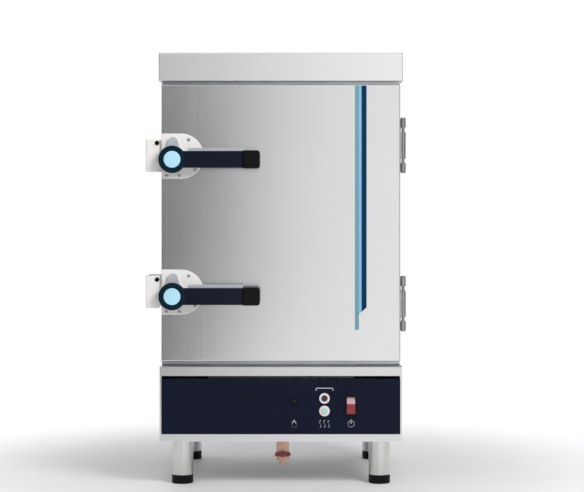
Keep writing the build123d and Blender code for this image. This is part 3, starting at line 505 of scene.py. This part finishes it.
SCREW = screw_head()


def screws(name, body, direction, radius, places, finish="screw"):
    """One piece of screws, each standing on its place and facing a direction."""
    shape = bmesh.new()
    turn = Vector(direction).to_track_quat("Z", "Y").to_matrix().to_4x4()
    for number, place in enumerate(places):
        spin = Matrix.Rotation(number * SCREW_SPIN, 4, "Z")
        where = Matrix.Translation(place) @ turn @ spin @ Matrix.Scale(radius * MM, 4)
        one = SCREW.copy()
        one.transform(where)
        shape.from_mesh(one)
        bpy.data.meshes.remove(one)
    piece(name, shape, finish, body)


def side_places(face, depths, rises, levels):
    """Places on an upright face of the side, at each level, depth and rise."""
    return [spot(face, y, level + rise) for level in levels for y in depths for rise in rises]


FORWARD = (0, -1, 0)
BACKWARD = (0, 1, 0)
LEFTWARD = (-1, 0, 0)
RIGHTWARD = (1, 0, 0)
SHEET_SCREW = 4.5
LEAF_SCREW = 4
KEEPER_SCREW = 5
# Radius of the black dot of painted shade on each keeper
KEEPER_SHADE_DOT = 6.5

# Each as the face's x, the screws' depths, and their rises from the hinge's or lever's middle
FRAME_LEAF = (347, (-257, -241), (-58, 0, 58))
DOOR_LEAF = (346.5, (-308, -294), (-25, 25))
KEEPER = (-350, (-220, -242), (-20, 44))
lever_levels = LATCH_LEVELS.values()
screws(
    "hinge_frame_screws", "cabinet", RIGHTWARD, LEAF_SCREW,
    side_places(*FRAME_LEAF, HINGE_LEVELS),
)
screws(
    "hinge_door_screws", "door", RIGHTWARD, LEAF_SCREW,
    side_places(*DOOR_LEAF, HINGE_LEVELS),
)
screws(
    "keeper_screws", "cabinet", LEFTWARD, KEEPER_SCREW,
    side_places(*KEEPER, lever_levels),
)

# Painted shade: a small black dot on the front of each keeper, standing for the shadowed gap where
# the keeper meets the door
SHADE_DOT_X = -352.6
SHADE_DOT_RISE = 47
shade_dot_y = (KEEPER_FRONT - MID_Y) / MM
screws(
    "keeper_painted_shade", "cabinet", FORWARD, KEEPER_SHADE_DOT,
    [spot(SHADE_DOT_X, shade_dot_y, level + SHADE_DOT_RISE) for level in lever_levels],
    "black",
)

# The latch plates' screws as (x, rise from the lever's pin), clear of the cam's sweep
PLATE_FACE = -331.8
PLATE_SCREWS = ((-263, 57), (-327, -46), (-290, -46), (-245, -30))
screws(
    "latch_plate_screws", "door", FORWARD, SHEET_SCREW,
    [spot(x, PLATE_FACE, level + rise) for level in lever_levels for x, rise in PLATE_SCREWS],
)

# The rear panel's screws go up both edges and along its foot and top
REAR_EDGES = (-330, 330)
REAR_ROW = (-165, 0, 165)
EDGE_LEVELS = (150, 350, 550, 750, 950, 1140)
screws(
    "rear_panel_screws", "cabinet", BACKWARD, SHEET_SCREW,
    [spot(x, BODY_BACK, z) for x in REAR_EDGES for z in EDGE_LEVELS]
    + [spot(x, BODY_BACK, z) for x in REAR_ROW for z in (EDGE_LEVELS[0], EDGE_LEVELS[-1])],
)

# The side panels' screws go up the rear edge and along the foot
SIDE_EDGE = 258
SIDE_ROW = (-180, 0, 130)
SIDE_FOOT = 140
CAP_HALF = 350
CAP_ROW = (-240, 0, 240)
CAP_LEVEL = 1172
for side, name in ((-1, "left"), (1, "right")):
    screws(
        f"side_screws_{name}", "cabinet", (side, 0, 0), SHEET_SCREW,
        [spot(side * BODY_HALF, SIDE_EDGE, z) for z in EDGE_LEVELS]
        + [spot(side * BODY_HALF, y, SIDE_FOOT) for y in SIDE_ROW],
    )
    screws(
        f"cap_screws_{name}", "cabinet", (side, 0, 0), SHEET_SCREW,
        [spot(side * CAP_HALF, y, CAP_LEVEL) for y in CAP_ROW],
    )


# Ring round each lever's button

RING_STEPS = 64
# (radius, how far it stands proud of the cover) in millimetres, round the section
RING_PROFILE = [(24.4, 0.6), (25.2, 1.4), (36, 1.4), (37.4, 0.2), (37.4, -1.5), (24.4, -1.5)]
for name, level in LATCH_LEVELS.items():
    shape = bmesh.new()
    rings = []
    for step in range(RING_STEPS):
        angle = 2 * math.pi * step / RING_STEPS
        ring = []
        for reach, proud in RING_PROFILE:
            x = MID_X + (LATCH_X + reach * math.cos(angle)) * MM
            z = (level + reach * math.sin(angle)) * MM
            ring.append(shape.verts.new((x, COVER_FRONT - proud * MM, z)))
        rings.append(ring)
    join_loop(shape, rings)
    piece(f"lever_ring_{name}", shape, "teal_ring", f"latch_{name}")


# Plain marks by the lamps and the switch, drawn as thin raised lines

MARK_PROUD = 0.25 * MM
MARK_WIDTH = 2.2 * MM
MARK_LEVEL = 178
ARC_STEPS = 14
WATER_X = 38
HEAT_X = 125
SWITCH_X = 201
TOP_RISE = 11
# The drop's round part: how far under the marks' level, its radius and arc in degrees
DROP_FALL = 3
DROP_RADIUS = 7
DROP_ARC = (150, 390)
# The open ring of the power sign, and how far over its middle its stem starts
POWER_RADIUS = 9
POWER_ARC = (125, 415)
STEM_RISE = 1
# The bracket over the pair of lamps
BRACKET_HALF = 24
BRACKET_LEVEL = 280
BRACKET_DROP = 6
# A rising wave: its half width, its points, their turn in radians and their spacing in height
WAVE_SWING = 2.6
WAVE_POINTS = 9
WAVE_TURN = 0.785
WAVE_RISE = 2.25
WAVE_PITCH = 12


def stroke(mesh, points, closed):
    """Flat line on the panel along (x, z) points."""
    count = len(points)
    for i in range(count if closed else count - 1):
        a, b = Vector(points[i]), Vector(points[(i + 1) % count])
        along = (b - a).normalized() * MARK_WIDTH / 2
        across = Vector((-along.y, along.x))
        corners = [a - along - across, b + along - across, b + along + across, a - along + across]
        slab(mesh, [tuple(c) for c in corners], PANEL_FRONT - MARK_PROUD, PANEL_FRONT)


def mark(name, strokes):
    """One raised mark on the control panel from (points, closed) in the cabinet's millimetres."""
    shape = bmesh.new()
    for points, closed in strokes:
        stroke(shape, [(MID_X + x * MM, z * MM) for x, z in points], closed)
    piece(name, shape, "mark", "cabinet")


def arc(x, z, radius, start, end):
    """Points of an arc, angles in degrees."""
    turns = [math.radians(start + (end - start) * i / ARC_STEPS) for i in range(ARC_STEPS + 1)]
    return [(x + radius * math.cos(a), z + radius * math.sin(a)) for a in turns]


def wave(x):
    """Points of one rising wave."""
    foot = MARK_LEVEL - WAVE_RISE * (WAVE_POINTS - 1) / 2
    return [
        (x + WAVE_SWING * math.sin(i * WAVE_TURN), foot + i * WAVE_RISE)
        for i in range(WAVE_POINTS)
    ]


drop = arc(WATER_X, MARK_LEVEL - DROP_FALL, DROP_RADIUS, *DROP_ARC)
drop.append((WATER_X, MARK_LEVEL + TOP_RISE))
mark("mark_water", [(drop, True)])
mark("mark_heat", [(wave(HEAT_X + i * WAVE_PITCH), False) for i in (-1, 0, 1)])
circle = arc(SWITCH_X, MARK_LEVEL, POWER_RADIUS, *POWER_ARC)
stem = [(SWITCH_X, MARK_LEVEL + STEM_RISE), (SWITCH_X, MARK_LEVEL + TOP_RISE)]
mark("mark_power", [(circle, False), (stem, False)])
bracket = [
    (HEAT_X - BRACKET_HALF, BRACKET_LEVEL - BRACKET_DROP),
    (HEAT_X - BRACKET_HALF, BRACKET_LEVEL),
    (HEAT_X + BRACKET_HALF, BRACKET_LEVEL),
    (HEAT_X + BRACKET_HALF, BRACKET_LEVEL - BRACKET_DROP),
]
mark("mark_group", [(bracket, False)])


# Pressed louvres on the rear panel, in two columns

LOUVRE_COLUMNS = (30, 112)
LOUVRE_LEVELS = range(162, 240, 18)
LOUVRE_HALF = 32
LOUVRE_STEPS = 16
# (height, how far it stands out) in millimetres, round the section
LOUVRE_PROFILE = [(5, 0), (2.6, 2.0), (-1.6, 4.2), (-3.6, 4.6), (-4, 4.1), (-4, 0)]
# How square the louvre's ends are, and the least rise there
LOUVRE_SQUARE = 8
LOUVRE_LEAST = 0.02
shape = bmesh.new()
for x in LOUVRE_COLUMNS:
    for z in LOUVRE_LEVELS:
        rings = []
        for step in range(LOUVRE_STEPS + 1):
            share = 2 * step / LOUVRE_STEPS - 1
            rise = math.sqrt(max(LOUVRE_LEAST, 1 - share**LOUVRE_SQUARE))
            here = MID_X + (x + share * LOUVRE_HALF) * MM
            rings.append(
                [
                    shape.verts.new((here, REAR_FACE + out * rise * MM, (z + up) * MM))
                    for up, out in LOUVRE_PROFILE
                ]
            )
        join_stack(shape, rings)
piece("rear_louvres", shape, "steel_upright", "cabinet")


# Door seal: a ribbed strip mitred round the door, in the solid seal's place

seal_low, seal_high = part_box("door_gasket")
SEAL_WIDTH = 16 * MM
# (across the strip, depth) as shares, from its outer edge to its inner one
SEAL_PROFILE = [
    (0.0, 0.0), (0.0, 0.35), (0.1, 0.6), (0.06, 0.85), (0.16, 1.0), (0.3, 0.9), (0.36, 0.62),
    (0.5, 0.52), (0.64, 0.62), (0.7, 0.9), (0.84, 1.0), (0.94, 0.85), (0.9, 0.6), (1.0, 0.35),
    (1.0, 0.0),
]
shape = bmesh.new()
rings = []
for on_right, on_top in ((0, 0), (1, 0), (1, 1), (0, 1)):
    ring = []
    for across, deep in SEAL_PROFILE:
        inset = across * SEAL_WIDTH
        x = seal_high.x - inset if on_right else seal_low.x + inset
        z = seal_high.z - inset if on_top else seal_low.z + inset
        ring.append(shape.verts.new((x, seal_low.y + deep * (seal_high.y - seal_low.y), z)))
    rings.append(ring)
join_loop(shape, rings)
seal = piece("door_seal", shape, "rubber", "door")
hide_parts("door_gasket")


# Trays with a rolled rim and rounded floor edges, in the solid trays' place

TRAY_CORNER = 22
TRAY_LEAST_CORNER = 4
TRAY_STEPS = 8
# (inset from the rim's edge, height under its top) in millimetres, from the floor's underside
# up the outside, round the rim and down to the floor
TRAY_PROFILE = [
    (16.5, -48), (12.6, -47.1), (10.6, -44.8), (10, -41.5), (10, -4), (9.6, -2.4), (8.4, -1.4),
    (3.4, -1.4), (2.6, -2.2), (1.8, -3.3), (0.8, -3.2), (0.1, -2.2), (0.2, -1), (1, -0.2), (2, 0),
    (8.8, 0), (10.2, -0.5), (10.9, -1.6), (11, -3), (11, -41.5), (11.6, -44.4), (13.4, -46.4),
    (17, -47),
]


def rounded_loop(mesh, low, high, inset, radius, z):
    """Vertices of a level rounded rectangle inside two corners."""
    ring = []
    corners = ((high.x, high.y, 0), (low.x, high.y, 90), (low.x, low.y, 180), (high.x, low.y, 270))
    for x, y, start in corners:
        middle_x = x + (inset + radius) * (-1 if x > low.x else 1)
        middle_y = y + (inset + radius) * (-1 if y > low.y else 1)
        for step in range(TRAY_STEPS + 1):
            angle = math.radians(start + 90 * step / TRAY_STEPS)
            place = (middle_x + radius * math.cos(angle), middle_y + radius * math.sin(angle), z)
            ring.append(mesh.verts.new(place))
    return ring


for name in sorted(node for node in nodes if node.startswith("tray_")):
    low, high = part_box(name)
    shape = bmesh.new()
    rings = []
    for inset, fall in TRAY_PROFILE:
        radius = max(TRAY_CORNER - inset, TRAY_LEAST_CORNER) * MM
        rings.append(rounded_loop(shape, low, high, inset * MM, radius, high.z + fall * MM))
    join_stack(shape, rings)
    for face in shape.faces:
        face.smooth = len(face.verts) == 4
    pan = piece(f"{name}_pressed", shape, "tray", "cabinet")
    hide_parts(name)


# Camera at the photograph's angle: the door's front plane is SCALE to a pixel

CAMERA_X = 0.044
CAMERA_Z = 0.84
CAMERA_DISTANCE = 5.2
SENSOR = 36
SCALE = 2.862 * MM
WIDTH = 584
HEIGHT = 492
FLOOR_ROW = 486
camera_data = bpy.data.cameras.new("camera")
camera_data.sensor_width = SENSOR
camera_data.lens = SENSOR * CAMERA_DISTANCE / (WIDTH * SCALE)
camera_data.shift_y = ((FLOOR_ROW - HEIGHT / 2) * SCALE - CAMERA_Z) / (WIDTH * SCALE)
camera = bpy.data.objects.new("camera", camera_data)
camera.location = (CAMERA_X, DOOR_FRONT - CAMERA_DISTANCE, CAMERA_Z)
camera.rotation_euler = (math.pi / 2, 0, 0)
bpy.context.scene.collection.objects.link(camera)
bpy.context.scene.camera = camera
bpy.context.scene.view_settings.view_transform = "Standard"


# White studio: sky, a floor that fades to white, one soft lamp and grey cards

FLOOR_TONE = 0.9
FLOOR_ROUGH = 0.5
FLOOR_HALF = 30
# How far from the origin the floor starts to fade and is all white
FADE_START = 0.5
FADE_END = 1.3
world = bpy.data.worlds.new("world")
bpy.context.scene.world = world
world.use_nodes = True
sky = world.node_tree.nodes["Background"]
sky.inputs["Color"].default_value = (1, 1, 1, 1)
sky.inputs["Strength"].default_value = 1.0


def plane(name, corners, mat):
    """Stage quad from four corners."""
    data = bpy.data.meshes.new(name)
    data.from_pydata(corners, [], [(0, 1, 2, 3)])
    made = bpy.data.objects.new(name, data)
    bpy.context.scene.collection.objects.link(made)
    made.data.materials.append(mat)
    made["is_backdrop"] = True
    return made


def floor_material():
    """Pale floor near the object that takes its shadow, white further out."""
    mat = bpy.data.materials.new("floor")
    mat.use_nodes = True
    tree = mat.node_tree
    near = tree.nodes["Principled BSDF"]
    near.inputs["Base Color"].default_value = (FLOOR_TONE, FLOOR_TONE, FLOOR_TONE, 1)
    near.inputs["Roughness"].default_value = FLOOR_ROUGH
    far = add(tree, "ShaderNodeEmission")
    where = tree.nodes.new("ShaderNodeTexCoord")
    reach = add(tree, "ShaderNodeVectorMath", operation="LENGTH")
    tree.links.new(where.outputs["Object"], reach.inputs[0])
    fade = add(tree, "ShaderNodeMapRange", interpolation_type="SMOOTHSTEP")
    fade.inputs["From Min"].default_value = FADE_START
    fade.inputs["From Max"].default_value = FADE_END
    tree.links.new(reach.outputs["Value"], fade.inputs["Value"])
    joined = tree.nodes.new("ShaderNodeMixShader")
    tree.links.new(fade.outputs["Result"], joined.inputs["Fac"])
    tree.links.new(near.outputs["BSDF"], joined.inputs[1])
    tree.links.new(far.outputs["Emission"], joined.inputs[2])
    tree.links.new(joined.outputs["Shader"], tree.nodes["Material Output"].inputs["Surface"])
    return mat


plane(
    "floor",
    [
        (-FLOOR_HALF, -FLOOR_HALF, 0),
        (FLOOR_HALF, -FLOOR_HALF, 0),
        (FLOOR_HALF, FLOOR_HALF, 0),
        (-FLOOR_HALF, FLOOR_HALF, 0),
    ],
    floor_material(),
)

# Cards that the steel reflects, so that it isn't lost against the white. They stay out of the
# camera's own sight. Upright ones are (tone, left foot, right foot), in metres.
CARD_TOP = 4.0
CARD_FOOT = 0.02
CARD_ROUGH = 0.9
CARDS = {
    "card_front": (0.1, (-2.0, -6.2), (-0.3, -6.2)),
    "card_front_left": (0.4, (-6, -5), (-2.0, -6.2)),
    "card_front_right": (0.55, (2.8, -6.2), (6, -4)),
    "card_right": (0.25, (3.2, -2.6), (3.8, 0.2)),
    "card_left": (0.25, (-3.8, 0.2), (-3.2, -2.6)),
    "card_rear": (0.25, (4.5, 5.5), (0.3, 5.5)),
}
# Level ones are (tone, left, right, front, back, height)
OVER_FLOOR = 0.01
CEILING = 5
LEVEL_CARDS = {
    "card_floor_front": (0.1, -2.0, -0.3, -6.2, -1.6, OVER_FLOOR),
    "card_floor_front_left": (0.4, -5.5, -2.0, -6.2, -1.2, OVER_FLOOR),
    "card_floor_front_right": (0.55, 2.2, 5.5, -6.2, -1.2, OVER_FLOOR),
    "card_floor_right": (0.45, 1.2, 5, -1.2, 5, OVER_FLOOR),
    "card_floor_left": (0.45, -5, -1.2, -1.2, 5, OVER_FLOOR),
    "card_floor_rear": (0.45, -1.2, 1.2, 1.4, 5, OVER_FLOOR),
    "card_ceiling": (0.6, -3.5, 3.5, -3, 5, CEILING),
}


def grey_plane(name, tone, corners):
    """Matt grey stage quad that the camera doesn't see."""
    mat = bpy.data.materials.new(name)
    mat.use_nodes = True
    shader = mat.node_tree.nodes["Principled BSDF"]
    shader.inputs["Base Color"].default_value = (tone, tone, tone, 1)
    shader.inputs["Roughness"].default_value = CARD_ROUGH
    plane(name, corners, mat).visible_camera = False


for name, (tone, left, right) in CARDS.items():
    corners = [(*left, CARD_FOOT), (*right, CARD_FOOT), (*right, CARD_TOP), (*left, CARD_TOP)]
    grey_plane(name, tone, corners)
for name, (tone, left, right, front, back, height) in LEVEL_CARDS.items():
    corners = [
        (left, front, height),
        (right, front, height),
        (right, back, height),
        (left, back, height),
    ]
    grey_plane(name, tone, corners)

LAMP_PLACE = Vector((1.9, -2.6, 2.6))
LAMP_AIM = Vector((0, 0, 0.6))
LAMP_SIZE = 1.6
LAMP_POWER = 85
lamp_data = bpy.data.lights.new("key", "AREA")
lamp_data.shape = "RECTANGLE"
lamp_data.size = LAMP_SIZE
lamp_data.size_y = LAMP_SIZE
lamp_data.energy = LAMP_POWER
lamp = bpy.data.objects.new("key", lamp_data)
lamp.location = LAMP_PLACE
lamp.rotation_euler = (LAMP_AIM - LAMP_PLACE).to_track_quat("-Z", "Y").to_euler()
lamp.visible_camera = False
lamp.visible_glossy = False
bpy.context.scene.collection.objects.link(lamp)

low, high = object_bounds()
